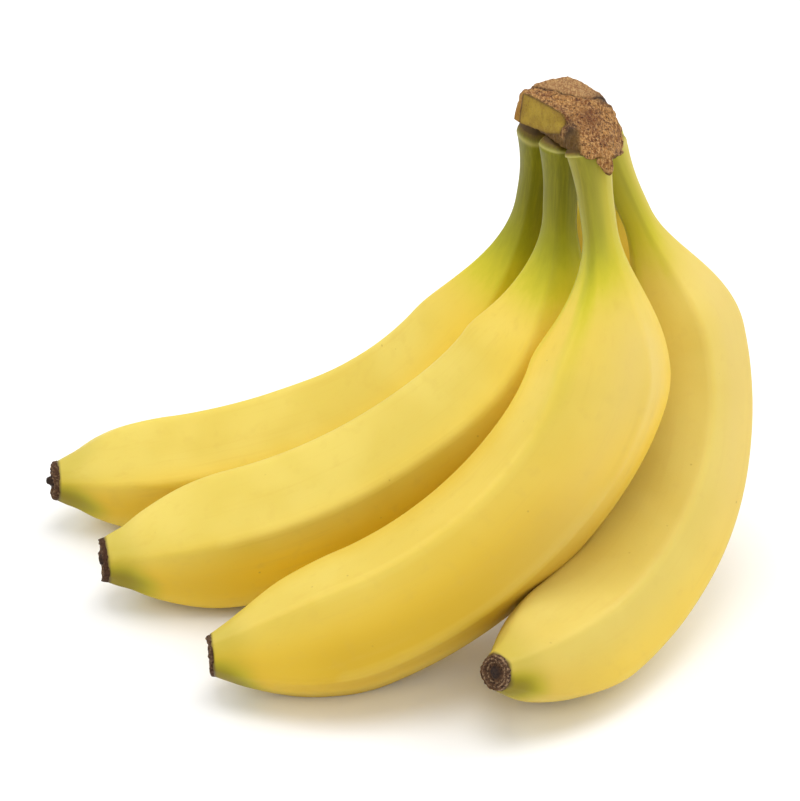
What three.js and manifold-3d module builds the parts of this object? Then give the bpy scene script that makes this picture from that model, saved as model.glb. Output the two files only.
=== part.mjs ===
// A bunch of five bananas lying on the backs of its fingers, cut from the stalk with its crown.
// Millimetres, +Z up. The bunch lies on the plane z = 0, and its origin is under the middle of its box.
// The fingers bend towards -X, the right-hand one also towards -Y, and their necks meet under the crown at +X.
import * as THREE from "three";
import { ConvexGeometry } from "three/addons/geometries/ConvexGeometry.js";
import { LoftGeometry } from "three/addons/geometries/LoftGeometry.js";
import { mergeVertices } from "three/addons/utils/BufferGeometryUtils.js";
import Module from "manifold-3d";

const wasm = await Module();
wasm.setup();

// Every place below is measured from a point near the crown's foot. The bunch's origin is here:
// under the middle of its box, on the plane that it lies on and that flattens its lowest spots.
const ORIGIN = { x: 25.5, y: -31.4, z: 0.5 };

// Each finger hangs from its neck top, leans sideways, and turns from straight down towards its heading.
// heading: degrees from -Y towards -X of the side that the finger turns to.
// lean: degrees that the neck leans across that heading. sweep: degrees that the finger veers sideways.
// turn: degrees turned from straight down, at each fifth of the length from the neck to the blossom end.
// roll: where the first of its five faces looks, in degrees round the finger.
// shoulder, taper: the shares of its length where it reaches its full girth and where it starts to narrow again.
// scar: the height of its dried blossom end. root: the point inside the crown that its neck grows from.
const FINGERS = [
  {
    name: "banana_1",
    neckTop: [68.4, 17.6, 127.6],
    root: [68, 16, 137],
    heading: 83,
    lean: 5,
    length: 212,
    turn: [1, 16, 43, 69, 84, 95],
    bodyRadius: 17.6,
    neckRadius: 4.6,
    shoulder: 0.36,
    taper: 0.83,
    scar: 3.4,
    sweep: -4,
    roll: 260,
  },
  {
    name: "banana_2",
    neckTop: [74, -3.4, 135.6],
    root: [74.3, -3, 141],
    heading: 86,
    lean: -9.5,
    length: 209.5,
    turn: [0, 7, 45, 62, 78, 88],
    bodyRadius: 19.5,
    neckRadius: 4.9,
    shoulder: 0.33,
    taper: 0.81,
    scar: 3,
    sweep: -7,
    roll: 254,
  },
  {
    name: "banana_3",
    neckTop: [81, -18.4, 140.2],
    root: [80.5, -15, 141.5],
    heading: 80,
    lean: -18.5,
    length: 205.5,
    turn: [-4, 0, 34, 54, 73, 88],
    bodyRadius: 19.9,
    neckRadius: 5,
    shoulder: 0.32,
    taper: 0.79,
    scar: 1.8,
    sweep: 5,
    roll: 280,
  },
  {
    name: "banana_4",
    neckTop: [87.7, 6.2, 128.7],
    root: [84.5, 3, 137],
    heading: 42,
    lean: -24,
    length: 204,
    turn: [-12, -10, 25, 60, 85, 107],
    bodyRadius: 17.2,
    neckRadius: 4.6,
    shoulder: 0.3,
    taper: 0.81,
    scar: 2.4,
    sweep: -3,
    roll: 261,
  },
  {
    name: "banana_5",
    neckTop: [87.5, 16.6, 127.9],
    root: [83.5, 13, 137],
    heading: 33,
    lean: 3,
    length: 161,
    turn: [-31, -6, 15, 40, 65, 89],
    bodyRadius: 16.4,
    neckRadius: 4.4,
    shoulder: 0.3,
    taper: 0.79,
    scar: 2.4,
    sweep: -2.5,
    roll: 0,
  },
];

// Shared form of a finger, as shares of its length.
const NECK_END = 0.1;
const FLARE_END = 0.07;
const NECK_FLARE = 0.3;
const TAPER_POWER = 1.8;
const END_RADIUS = 6.2;
// The body is fullest here, and thinner by this share of its radius at its ends.
const FULLEST = 0.58;
const FULLEST_REACH = 0.42;
const END_SLIMMING = 0.035;
// The section is a rounded pentagon: 0 is round, 1 has sharp ridges.
const FACES = 5;
const RIDGE_SHARPNESS = 12;
const NECK_RIDGES = 0.3;
const BODY_RIDGES = 0.55;
const RIDGE_WIDENING = 0.09;
const RIDGE_GROWTH = 0.2;
const RIDGE_FADING_START = 0.86;
const RIDGE_FADING = 0.5;

// The mesh of a finger: sections along it and points round each. The spine is summed in finer steps.
const SECTIONS = 36;
const SIDES = 20;
const SPINE_STEPS = 180;

// Dried blossom end: share of its height above the fruit's end, and radius, at each ring.
const END_PROFILE = [
  [0, 4.9],
  [0.2, 5.5],
  [0.45, 4.9],
  [0.5, 3.2],
  [0.8, 2.3],
  [1, 1.3],
];
const END_SIDES = 10;

// The gap that keeps neighbouring solids apart.
const GAP = 0.3;

// Corners of the cut pad: round its upper face with two on top of it, then round its underside.
const PAD_TOP = [
  [64.5, 17, 143.8],
  [66.9, 18.5, 145.2],
  [71.2, 19.5, 145.7],
  [76.3, 19, 147.3],
  [81.1, 17, 145.9],
  [85.2, 12, 145],
  [88.2, 7, 143],
  [90.5, 1, 139.4],
  [91.3, -3, 136],
  [84.5, -22.5, 141],
  [79.5, -23, 142.5],
  [75.5, -10, 144.8],
  [67.5, 6, 145.2],
  [72.8, 8, 147],
  [81.6, 3, 145.8],
];
const PAD_UNDERSIDE = [
  [66, 18.5, 135.5],
  [67.5, 2, 138],
  [74.5, -11, 139.5],
  [79, -23, 140],
  [86, -18.5, 137],
  [90.7, -4, 134.2],
  [90.5, 14, 133],
  [84, 20, 132.5],
  [74, 23, 134],
];

// Corners of the strip of green skin left on the pad's front, proud of the pad and undercut below:
// its left end, its face, then its back inside the pad.
const SKIN_STRIP = [
  [60.5, 13, 136.1],
  [61.4, 14.5, 139.2],
  [62.5, 16, 142.6],
  [63.7, 17, 144],
  [62.6, 10.2, 136.3],
  [63.2, 11, 145.6],
  [65.8, 6.5, 146.2],
  [69.8, -0.2, 146.8],
  [73.2, -5.9, 147.2],
  [74.3, -8, 146.3],
  [74.5, -8.5, 144.5],
  [73.7, -7.9, 141.6],
  [69.9, -2, 138.9],
  [66, 4.5, 137.3],
  [66.5, 12.5, 137.5],
  [67, 14, 144.5],
  [69.5, 8.8, 146.5],
  [76.5, -4, 146],
  [77.3, -5.5, 144],
  [76.5, -5, 141.2],
];

// The brown lobe and tongue that run down over the third neck: their axes with their radii.
const TONGUES = [
  [
    [79.8, -21.5, 142.3, 2.8],
    [80.8, -23.8, 142, 2],
    [81.6, -24.8, 141.6, 1.3],
  ],
  [
    [83, -22.8, 141.6, 3.2],
    [84.2, -24.6, 140.2, 2.2],
    [84.9, -25, 138.4, 1.7],
    [85.2, -24.8, 137, 1.2],
  ],
];
const TONGUE_SIDES = 8;
const TONGUE_FACING = [0, -0.4, 0.9];

// A neck widens by this share of its flared radius as it grows out of the crown.
const ROOT_WIDENING = 1.1;
// The crown's pieces keep clear of the necks down to this share of a finger's length.
const NECK_ROOM_END = 0.14;
const NECK_ROOM_STEP = 6;

// Smooth step from 0 to 1.
function smooth(t) {
  return THREE.MathUtils.smoothstep(t, 0, 1);
}

// The directions that a finger's place is given in: down its neck, the way it turns, and across both.
function directionsOf({ heading, lean }) {
  const angle = THREE.MathUtils.degToRad(heading);
  const tilt = THREE.MathUtils.degToRad(lean);
  const ahead = new THREE.Vector3(-Math.sin(angle), -Math.cos(angle), 0);
  const aside = new THREE.Vector3(-Math.cos(angle), Math.sin(angle), 0);
  const down = aside.multiplyScalar(Math.sin(tilt));
  down.z -= Math.cos(tilt);
  return { ahead, down, across: down.clone().cross(ahead) };
}

// A frame at each station along the finger: its place, the way along it, and two directions across it.
function spineOf(finger) {
  const { ahead, down, across } = directionsOf(finger);
  const turn = new THREE.SplineCurve(finger.turn.map((degrees, i) => new THREE.Vector2(i, degrees)));
  const veer = THREE.MathUtils.degToRad(finger.sweep);
  const place = new THREE.Vector3(...finger.neckTop);
  const step = finger.length / SPINE_STEPS;
  const frames = [];
  let before = null;
  for (let i = 0; i <= SPINE_STEPS; i++) {
    const share = i / SPINE_STEPS;
    const angle = THREE.MathUtils.degToRad(turn.getPoint(share).y);
    const aside = veer * (2 * share - 1);
    const along = down
      .clone()
      .multiplyScalar(Math.cos(angle) * Math.cos(aside))
      .addScaledVector(ahead, Math.sin(angle) * Math.cos(aside))
      .addScaledVector(across, Math.sin(aside));
    if (before) place.addScaledVector(before, step / 2).addScaledVector(along, step / 2);
    before = along;
    const side = across.clone().addScaledVector(along, -along.dot(across)).normalize();
    const inner = side.clone().cross(along);
    frames.push({ share, place: place.clone(), along, side, inner });
  }
  return frames;
}

function radiusAt(finger, share) {
  const fullness = 1 - END_SLIMMING * ((share - FULLEST) / FULLEST_REACH) ** 2;
  const growth = smooth((share - NECK_END) / (finger.shoulder - NECK_END));
  const narrowing = Math.max(0, (share - finger.taper) / (1 - finger.taper)) ** TAPER_POWER;
  const flare = NECK_FLARE * Math.max(0, 1 - share / FLARE_END) ** 2;
  const radius = THREE.MathUtils.lerp(finger.neckRadius * (1 + flare), finger.bodyRadius * fullness, growth);
  return THREE.MathUtils.lerp(radius, END_RADIUS, narrowing);
}

// How strongly the ridges show: weak on the neck, full on the body, weaker towards the blossom end.
function ridgesAt(share) {
  const growth = smooth((share - NECK_END) / RIDGE_GROWTH);
  const fading = 1 - RIDGE_FADING * smooth((share - RIDGE_FADING_START) / (1 - RIDGE_FADING_START));
  return NECK_RIDGES + (BODY_RIDGES - NECK_RIDGES) * growth * fading;
}

// The section's reach at an angle from the middle of a face, as a share of the radius.
function sectionAt(angle, ridges) {
  let sum = 0;
  for (let face = 0; face < FACES; face++) {
    sum += Math.max(0, Math.cos(angle - (2 * Math.PI * face) / FACES)) ** RIDGE_SHARPNESS;
  }
  const pentagon = sum ** (-1 / RIDGE_SHARPNESS);
  return (1 + (pentagon - 1) * ridges) / (1 + RIDGE_WIDENING * ridges);
}

// The ring of points round one frame of a finger, grown by a margin, and no lower than the table.
function ringOf(finger, frame, margin) {
  const radius = radiusAt(finger, frame.share) + margin;
  const ridges = ridgesAt(frame.share);
  const roll = THREE.MathUtils.degToRad(finger.roll);
  return Array.from({ length: SIDES }, (_, i) => {
    const angle = roll + (2 * Math.PI * i) / SIDES;
    const reach = radius * sectionAt(angle - roll, ridges);
    const point = frame.place
      .clone()
      .addScaledVector(frame.inner, reach * Math.cos(angle))
      .addScaledVector(frame.side, reach * Math.sin(angle));
    point.z = Math.max(point.z, ORIGIN.z);
    return point;
  });
}

// A closed solid through a row of rings.
function capped(rings) {
  return new THREE.BufferGeometry().copy(new LoftGeometry(rings, { capStart: true, capEnd: true }));
}

function fingerGeometry(finger) {
  const every = SPINE_STEPS / SECTIONS;
  const frames = spineOf(finger).filter((_, i) => i % every === 0);
  return capped(frames.map((frame) => ringOf(finger, frame, 0)));
}

// A round ring at a distance along a direction, for the roots, the blossom ends and the tongues.
function roundRing(centre, inner, side, radius, sides) {
  return Array.from({ length: sides }, (_, i) => {
    const angle = (2 * Math.PI * i) / sides;
    return centre
      .clone()
      .addScaledVector(inner, radius * Math.cos(angle))
      .addScaledVector(side, radius * Math.sin(angle));
  });
}

function blossomEndGeometry(finger) {
  const end = spineOf(finger).at(-1);
  return capped(
    END_PROFILE.map(([share, radius]) => {
      const centre = end.place.clone().addScaledVector(end.along, GAP + share * finger.scar);
      return roundRing(centre, end.inner, end.side, radius, END_SIDES);
    }),
  );
}

// Where the crown reaches down to a finger's neck, from inside the pad to the gap above the neck.
function rootGeometry(finger) {
  const { place, along, inner, side } = spineOf(finger)[0];
  const foot = place.clone().addScaledVector(along, -GAP);
  const heart = new THREE.Vector3(...finger.root);
  const radius = radiusAt(finger, 0);
  return new ConvexGeometry([
    ...roundRing(foot, inner, side, radius, SIDES),
    ...roundRing(heart, inner, side, radius * ROOT_WIDENING, SIDES),
  ]);
}

// The room that the crown leaves round a neck, a gap wider and higher than the neck itself.
function neckRoomGeometry(finger) {
  const frames = spineOf(finger).filter(({ share }, i) => i % NECK_ROOM_STEP === 0 && share <= NECK_ROOM_END);
  const first = { ...frames[0], place: frames[0].place.clone().addScaledVector(frames[0].along, -GAP) };
  return capped([first, ...frames].map((frame) => ringOf(finger, frame, GAP)));
}

function tongueGeometry(tongue) {
  const inner = new THREE.Vector3(1, 0, 0);
  const side = new THREE.Vector3(...TONGUE_FACING).normalize();
  return capped(
    tongue.map(([x, y, z, radius]) => roundRing(new THREE.Vector3(x, y, z), inner, side, radius, TONGUE_SIDES)),
  );
}

function hullGeometry(corners) {
  return new ConvexGeometry(corners.map((corner) => new THREE.Vector3(...corner)));
}

// A closed geometry as a solid that can be joined and cut.
function solidOf(geometry) {
  const bare = new THREE.BufferGeometry().copy(geometry);
  bare.deleteAttribute("normal");
  bare.deleteAttribute("uv");
  const merged = mergeVertices(bare, 1e-4);
  return new wasm.Manifold(
    new wasm.Mesh({
      numProp: 3,
      vertProperties: new Float32Array(merged.attributes.position.array),
      triVerts: new Uint32Array(merged.index.array),
    }),
  );
}

function geometryOf(solid) {
  const { vertProperties, triVerts } = solid.getMesh();
  const geometry = new THREE.BufferGeometry();
  geometry.setAttribute("position", new THREE.BufferAttribute(new Float32Array(vertProperties), 3));
  geometry.setIndex(new THREE.BufferAttribute(new Uint32Array(triVerts), 1));
  geometry.computeVertexNormals();
  return geometry;
}

// Pad, skin strip, tongues and roots grown together, with room for the necks.
function crownGeometry() {
  let crown = solidOf(hullGeometry([...PAD_TOP, ...PAD_UNDERSIDE])).add(solidOf(hullGeometry(SKIN_STRIP)));
  for (const tongue of TONGUES) crown = crown.add(solidOf(tongueGeometry(tongue)));
  for (const finger of FINGERS) crown = crown.add(solidOf(rootGeometry(finger)));
  for (const finger of FINGERS) crown = crown.subtract(solidOf(neckRoomGeometry(finger)));
  return geometryOf(crown);
}

const peelYellow = new THREE.MeshStandardMaterial({ color: 0xe8c63a, roughness: 0.5, metalness: 0 });
const corkBrown = new THREE.MeshStandardMaterial({ color: 0x8a5a34, roughness: 0.9, metalness: 0 });
const scarBrown = new THREE.MeshStandardMaterial({ color: 0x3f3026, roughness: 0.95, metalness: 0 });

function part(name, geometry, material) {
  const mesh = new THREE.Mesh(geometry, material.clone());
  mesh.name = name;
  return mesh;
}

const bunch = new THREE.Group();
bunch.name = "bunch_of_bananas";
bunch.position.set(-ORIGIN.x, -ORIGIN.y, -ORIGIN.z);
bunch.add(part("crown", crownGeometry(), corkBrown));
for (const finger of FINGERS) {
  bunch.add(part(finger.name, fingerGeometry(finger), peelYellow));
  const endName = finger.name.replace("banana", "blossom_end");
  bunch.add(part(endName, blossomEndGeometry(finger), scarBrown));
}

export default bunch;
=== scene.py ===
"""A bunch of five bananas on a pale studio floor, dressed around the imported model."""
import itertools
import math

import bmesh
import bpy
import numpy as np
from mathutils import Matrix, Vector


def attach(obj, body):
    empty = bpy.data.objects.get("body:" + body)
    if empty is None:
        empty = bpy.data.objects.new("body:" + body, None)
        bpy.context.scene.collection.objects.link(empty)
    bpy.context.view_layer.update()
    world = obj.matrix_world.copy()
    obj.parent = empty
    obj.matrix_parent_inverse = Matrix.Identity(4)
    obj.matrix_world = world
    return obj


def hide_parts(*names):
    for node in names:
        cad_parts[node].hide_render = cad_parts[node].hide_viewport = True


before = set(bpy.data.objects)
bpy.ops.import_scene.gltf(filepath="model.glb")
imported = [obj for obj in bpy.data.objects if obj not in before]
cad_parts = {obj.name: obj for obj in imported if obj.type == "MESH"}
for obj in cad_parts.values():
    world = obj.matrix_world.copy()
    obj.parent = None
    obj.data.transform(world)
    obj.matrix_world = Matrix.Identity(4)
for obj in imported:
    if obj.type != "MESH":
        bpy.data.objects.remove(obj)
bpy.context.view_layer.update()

# Lengths below are in millimetres, and MM turns them into metres.
MM = 0.001

# The fingers are drawn from a point near the crown's foot. The bunch's origin is here in that drawing.
ORIGIN = np.array([25.5, -31.4, 0.5])

# The camera, in the same drawing. It looks along +Y and down, with a long lens.
CAMERA_TARGET = np.array([28.12, 0, 50.68])
CAMERA_ELEVATION = 30
CAMERA_DISTANCE = 1000
FOCAL_PIXELS = 3376.74
IMAGE_HEIGHT_PIXELS = 801
SENSOR = 36

# Each finger hangs from its neck top, leans sideways, and turns from straight down towards its heading.
# neck_top, root: where its neck begins, and where its widened root ends inside the crown.
# heading: degrees from -Y towards -X. lean: degrees across the heading. length: along its curve.
# turn: degrees turned from straight down, at each fifth of the length. sweep: degrees that it veers sideways.
# body, neck, end: radius where it is full, of its neck and of its blossom end.
# roll: where its first face looks.
# shoulder, taper: shares of its length where it is full and where it narrows again.
# scar: height of the blossom end. pinch: how far it narrows just before it.
# lip: share of its root that is widest. bulges: shares where it swells towards its neighbour, and how far.
# green, green_to: how green its neck is, and the share where that ends.
# one_sided: how far the green keeps to the neck's inner side. straw: how straw-coloured the neck's top is.
# deep: how strong the painted shade of its low side is. gold: how much further up that shade goes in the
# outer half.
# olive: the share past which that painted shade turns greener.
# dull: how much painted sheen, over the peel's wax, pales its back. pale: how pale it is all over.
FINGERS = [
    dict(name="banana_1", neck_top=(68.4, 17.6, 127.6), root=(68, 16, 137), heading=83, lean=5, length=212,
         turn=(1, 16, 43, 69, 84, 95), sweep=-4, body=17.6, neck=4.6, end=5.9, roll=260, shoulder=0.36,
         taper=0.83, scar=3.4, pinch=0.5, lip=0.28, bulges=[(0.92, 1.5)], green=1.0, green_to=0.335,
         one_sided=0.0, straw=0.0, shade_depth=1.0, shade_gold=0.0, shade_olive=0.78, wax_and_sheen=0.1, pale=0.12),
    dict(name="banana_2", neck_top=(74, -3.4, 135.6), root=(75.6, 0.5, 139), heading=86, lean=-9.5,
         length=209.5, turn=(0, 7, 45, 62, 78, 88), sweep=-7, body=19.5, neck=4.9, end=6.7, roll=254,
         shoulder=0.33, taper=0.81, scar=2.2, pinch=0.5, lip=0.2, bulges=[(0.9, 0.9)], green=1.0,
         green_to=0.295, one_sided=0.0, straw=0.0, shade_depth=1.0, shade_gold=0.0, shade_olive=0.72, wax_and_sheen=0.1, pale=0.15),
    dict(name="banana_3", neck_top=(81, -18.4, 140.2), root=(79.5, -9, 140), heading=80, lean=-18.5,
         length=205.5, turn=(-4, 0, 34, 54, 73, 88), sweep=5, body=19.9, neck=5, end=6, roll=280,
         shoulder=0.32, taper=0.79, scar=1.2, pinch=0, lip=0.05, bulges=[(0.9, 1.0)], green=0.8,
         green_to=0.27, one_sided=0.45, straw=0.55, shade_depth=1.0, shade_gold=0.35, shade_olive=0.32, wax_and_sheen=1.0, pale=0.2),
    dict(name="banana_4", neck_top=(87.7, 6.2, 128.7), root=(84.5, 3, 137), heading=42, lean=-24, length=204,
         turn=(-12, -10, 25, 60, 85, 107), sweep=-3, body=17.2, neck=4.6, end=5.1, roll=261, shoulder=0.3,
         taper=0.81, scar=1.6, pinch=0.3, lip=0.3, bulges=[(0.9, 3.0), (0.78, 1.1), (0.66, 1.0)], green=0.5,
         green_to=0.25, one_sided=0.3, straw=0.7, shade_depth=0.5, shade_gold=0.0, shade_olive=0.8, wax_and_sheen=0.8, pale=0.45),
    dict(name="banana_5", neck_top=(87.5, 16.6, 127.9), root=(83.5, 13, 137), heading=33, lean=3, length=161,
         turn=(-31, -6, 15, 40, 65, 89), sweep=-2.5, body=16.4, neck=4.4, end=5.6, roll=0, shoulder=0.3,
         taper=0.79, scar=2.0, pinch=0.8, lip=0.3, bulges=[(0.16, 4.0)], green=0.5, green_to=0.25,
         one_sided=0.0, straw=0.3, shade_depth=1.0, shade_gold=0.0, shade_olive=0.75, wax_and_sheen=0.1, pale=0.1),
]

# Shared form of a finger. Places along it are shares of its length.
NECK_END = 0.1
FLARE_END = 0.07
NECK_FLARE = 0.3
TAPER_POWER = 1.8
FULLEST = 0.58
FULLEST_REACH = 0.42
END_SLIMMING = 0.035
PINCH_AT = 0.972
PINCH_WIDTH = 0.016
# Its section: a rounded pentagon, whose ridges grow past the neck and fade towards the far end.
FACES = 5
RIDGE_SHARPNESS = 32
NECK_RIDGES = 0.3
BODY_RIDGES = 0.8
RIDGE_WIDENING = 0.1
RIDGES_FULL = 0.3
RIDGE_FADING_START = 0.86
RIDGE_FADING = 0.85
# Its root inside the crown.
ROOT_DEPTH = 10
ROOT_WIDENING = 1.06
ROOT_UNDERCUT = 0.4
# Where it swells: degrees from its inner side, and the share of its length on either side.
BULGE_TOWARDS = 55
BULGE_WIDTH = 0.06

# The fine mesh of a finger.
SPINE_STEPS = 720
SECTIONS = 250
ROOT_SECTIONS = 16
SIDES = 96

# The table of random numbers behind soft noise, and where noise starts in it.
NOISE_CELLS = 32
NOISE_START = 0.37
# How far ridges stray, in radians, the length of their bends, and how slowly they change across a finger.
RIDGE_WANDER = 0.05
WANDER_SIZE = 45
WANDER_ACROSS = 0.4
# The peel's relief: height, feature size, how fast it changes along compared to across, and the shares
# of the length over which it grows and fades. They are swells, dimples, the neck's fibres and the far end's.
# A range outside 0 to 1 changes nothing.
RELIEF = [
    (0.16, 32, 1, (0.12, 0.27), (0.92, 1.02)),
    (0.09, 6, 0.4, (0.12, 0.27), (0.92, 1.02)),
    (0.035, 2.6, 0.08, (-1, 0), (0.08, 0.24)),
    (0.2, 2.4, 0.15, (0.93, 1), (1, 2)),
]
# The peel's turn over the edge of the scar: how far in and how far out each ring goes, and the cap's depth.
END_LIPS = [(0.05, 0.18), (0.14, 0.1), (0.3, -0.5)]
END_DEPTH = 0.5
# Noise over the straightened fingers is taken this far apart for each.
FIELD_STEP = 400

# Shares of a finger's length over which its tints grow or fade. Of these, the golden low side is painted
# shade, the pale tint of its back is painted sheen over the wax, and the lighter ridge tint is a painted
# highlight.
GREEN_START = 0.03
STREAKS_FADE = (0.2, 0.6)
STRAW_FADES = (0.06, 0.2)
TIP_GREEN_GROWS = (0.915, 0.995)
TIP_OLIVE_GROWS = (0.925, 0.99)
BLOOM_SHEEN_GROWS = (0.16, 0.28)
BLOOM_SHEEN_FADES = (0.4, 0.7)
SHADE_CLIMBS = (0.3, 0.6)
LOW_SIDE_GROWS = (0.2, 0.4)
LOW_SIDE_FADES = (0.82, 0.92)
OLIVE_LENGTH = 0.2
RIDGE_HIGHLIGHT_GROWS = (0.25, 0.45)
RIDGE_HIGHLIGHT_FADES = (0.83, 0.93)
SCAR_GROWS = (0.9965, 0.9985)
# Patches that make the tints' ends ragged: feature sizes, and how far they move an end.
PATCH_SIZE = 14
LONG_PATCH_SIZE = 7
LONG_PATCH_ALONG = 0.25
NECK_RAGGEDNESS = 0.01
TIP_RAGGEDNESS = 0.012
SCAR_RAGGEDNESS = 0.002
# How far a point looks up, where tints of the low side end. These are painted shade: the golden low side,
# and the extra strength of the far end's own tints on its lower side.
LOW_SIDE_ENDS = 0.75
UNDERNEATH_ENDS = (-0.75, -0.35)
TIP_SIDE_ENDS = (-0.3, 0.6)
# How far a point looks towards the finger's inner side, where tints of one side start or end, the painted
# sheen among them.
INNER_SIDE = (-0.55, 0.35)
STRAW_SIDE_ENDS = (-0.5, 0.4)
STREAK_SIDE = (0.3, 0.7)
BLOOM_SHEEN_MIDDLE = -0.45
BLOOM_SHEEN_WIDTH = 0.6
# The brown of the root and the pale line before it, as shares of the lip and of the root.
COLLAR_START = 0.9
COLLAR_LENGTH = 0.35
ARC_START = 0.8
ARC_WIDTH = 0.09

# A blossom end: its rings, its rim, the foot of its stub, its ripples and grain, and its back. Rim places are
# shares of its radius, and the rest are distances from its middle.
SCAR_RINGS = 30
SCAR_CIRCLE = 5.2
RIM_HEIGHT = 1.15
RIM_SHARE = 0.6
FACE_HEIGHT = 0.2
EDGE_HEIGHT = -0.25
STUB_BASE = 0.4
STUB_FOOT = (0.9, 2.4)
STUB_WOBBLE = 0.6
RIM_GROWS = (0.5, 0.75)
RIM_FALLS = (0.9, 1)
RIPPLE_HEIGHT = 0.14
RIPPLES = 5.4
RIPPLE_WOBBLE = 1.8
RIPPLES_GROW = (1.4, 2.2)
COARSE_SIZE = 2.0
GRAIN_SIZE = 0.7
GRAIN_HEIGHT = 0.22
GRAIN_GROWS = (0, 1.5)
BACK_DEPTH = 0.5
BACK_SHARE = 0.8
# Layers of noise: height, feature size, and what is added to the seed.
RIM_RAGGEDNESS = [(0.06, 2.3, 0), (0.035, 0.7, 1)]
RIM_UNEVENNESS = [(0.5, 2.6, 2), (0.25, 0.8, 5)]
CORK_RELIEF = [(0.3, 4.5, 1), (0.28, 1.9, 2), (0.24, 0.95, 3)]
SKIN_RELIEF = [(0.12, 3.5, 4)]
CORK_SEED = 70
# How much smoother than the rest of the cork the skin and the pale cut are.
SKIN_SMOOTHNESS = 0.9
PALE_SMOOTHNESS = 0.5

# Corners of the cut pad, and of the strip of green skin on its front.
PAD_TOP = [
    (64.5, 17, 143.8), (66.9, 18.5, 145.2), (71.2, 19.5, 145.7), (76.3, 19, 147.3), (81.1, 17, 145.9),
    (85.2, 12, 145), (88.2, 7, 143), (90.5, 1, 139.4), (91.3, -3, 136), (84.5, -22.5, 141),
    (79.5, -23, 142.5), (75.5, -10, 144.8), (67.5, 6, 145.2), (72.8, 8, 147), (81.6, 3, 145.8),
]
PAD_UNDERSIDE = [
    (66, 18.5, 135.5), (67.5, 2, 138), (74.5, -11, 139.5), (79, -23, 140), (86, -18.5, 137),
    (90.7, -4, 134.2), (90.5, 14, 133), (84, 20, 132.5), (74, 23, 134),
]
SKIN_STRIP = [
    (60.5, 13, 136.1), (61.4, 14.5, 139.2), (62.5, 16, 142.6), (63.7, 17, 144), (62.6, 10.2, 136.3),
    (63.2, 11, 145.6), (65.8, 6.5, 146.2), (69.8, -0.2, 146.8), (73.2, -5.9, 147.2), (74.3, -8, 146.3),
    (74.5, -8.5, 144.5), (73.7, -7.9, 141.6), (69.9, -2, 138.9), (66, 4.5, 137.3), (66.5, 12.5, 137.5),
    (67, 14, 144.5), (69.5, 8.8, 146.5), (76.5, -4, 146), (77.3, -5.5, 144), (76.5, -5, 141.2),
]
# The strip's face: its outline's corners in SKIN_STRIP, a place on it, and the ways it looks and runs.
STRIP_OUTLINE = slice(4, 14)
STRIP_PLACE = np.array([62.6, 10.2, 136.3])
STRIP_FACING = np.array([-0.86, -0.5, 0.1])
STRIP_ALONG = np.array([11.0, -19.0, 2.0])
# Where the strip starts behind its face, how squarely a point of it looks forward, and its edges' widths.
STRIP_STARTS = (-2.2, -1.4)
STRIP_LOOKS = (0.2, 0.5)
STRIP_EDGE = (-0.25, 0.25)
STRIP_END_FADES = (-0.2, 0.3)
STRIP_OUTLINE_WIDTH = 0.28
STRIP_RIM_WIDTH = 1.3
# Tongues of torn fibre and the curl at the right edge, from top to tip, each as X, Y, Z and radius.
TONGUES = [
    [(79.8, -21.5, 143, 2.8), (80.8, -24.4, 143.2, 2), (81.2, -25.4, 143, 1.3)],
    [(85, -23.4, 143, 3.0), (84.8, -25.4, 141.6, 2.3), (85.3, -25.9, 139.6, 1.6), (85.8, -25.7, 138.1, 1.0)],
    [(88.2, -9, 137.2, 2.4), (89.6, -7.5, 135.8, 1.6), (90.2, -6.5, 135, 0.9)],
]
TONGUE_SIDES = 10
TONGUE_DEPTH = 0.9
TONGUE_TILT = 0.4
# Cork that runs over the top of the third finger's neck: its lower edge in front, then its corners behind.
APRON = [
    (76.5, -21.5, 144.2), (78.5, -24.2, 143.6), (80.5, -25.6, 143.4), (84, -26, 143), (87.5, -23.6, 142.3),
    (89.2, -19, 140), (90.6, -12, 137), (79, -20, 145), (84, -20, 144.5), (88, -17, 143), (90, -11, 140.5),
    (80.5, -21, 141.5), (84, -21, 141), (87.5, -18, 140),
]
# The line across the top of the pad, behind which the cut is paler, as X and Y, and how it strays.
PALE_CUT = [(64, 19), (68.5, 14), (73.6, 8.8), (78.6, 6.9), (82, 6.5), (86, 10), (92, 16)]
PALE_CUT_STRAYS = 0.5
PALE_CUT_SIZE = 2.2
PALE_CUT_EDGE = (0, 0.6)
CRACK_WIDTH = 0.4
CRACK_DEPTH = 0.5
# How far up or down a point looks where the top or the underside starts. The underside gets painted shade.
TOP_LOOKS = (0.3, 0.6)
SHADE_UNDER_LOOKS = (0.15, 0.45)
# Dark and red spots of the cut: the middle, and the reach along X, Y and Z.
DARK_SPOT = ((75.8, -9.5, 143.2), (1.8, 3.4, 2.8))
EDGE_SPOT = ((86, 9, 144), (3.5, 2.6, 2.2))
RED_SPOT = ((81, -4, 144.8), (4, 5, 4))
# Hollow places beside and below the strip that get painted shade, as the X and Y, or the X and Z, over which
# they end.
SHADED_RECESS = ((77.4, 79), (-12, -9.5))
SHADED_BELOW_STRIP = ((76, 77.5), (141, 141.8))
# The grid that grows the crown's hulls together, and how much their edges are softened.
CROWN_VOXEL = 0.4
CROWN_SOFTENING = 0.5

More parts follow.
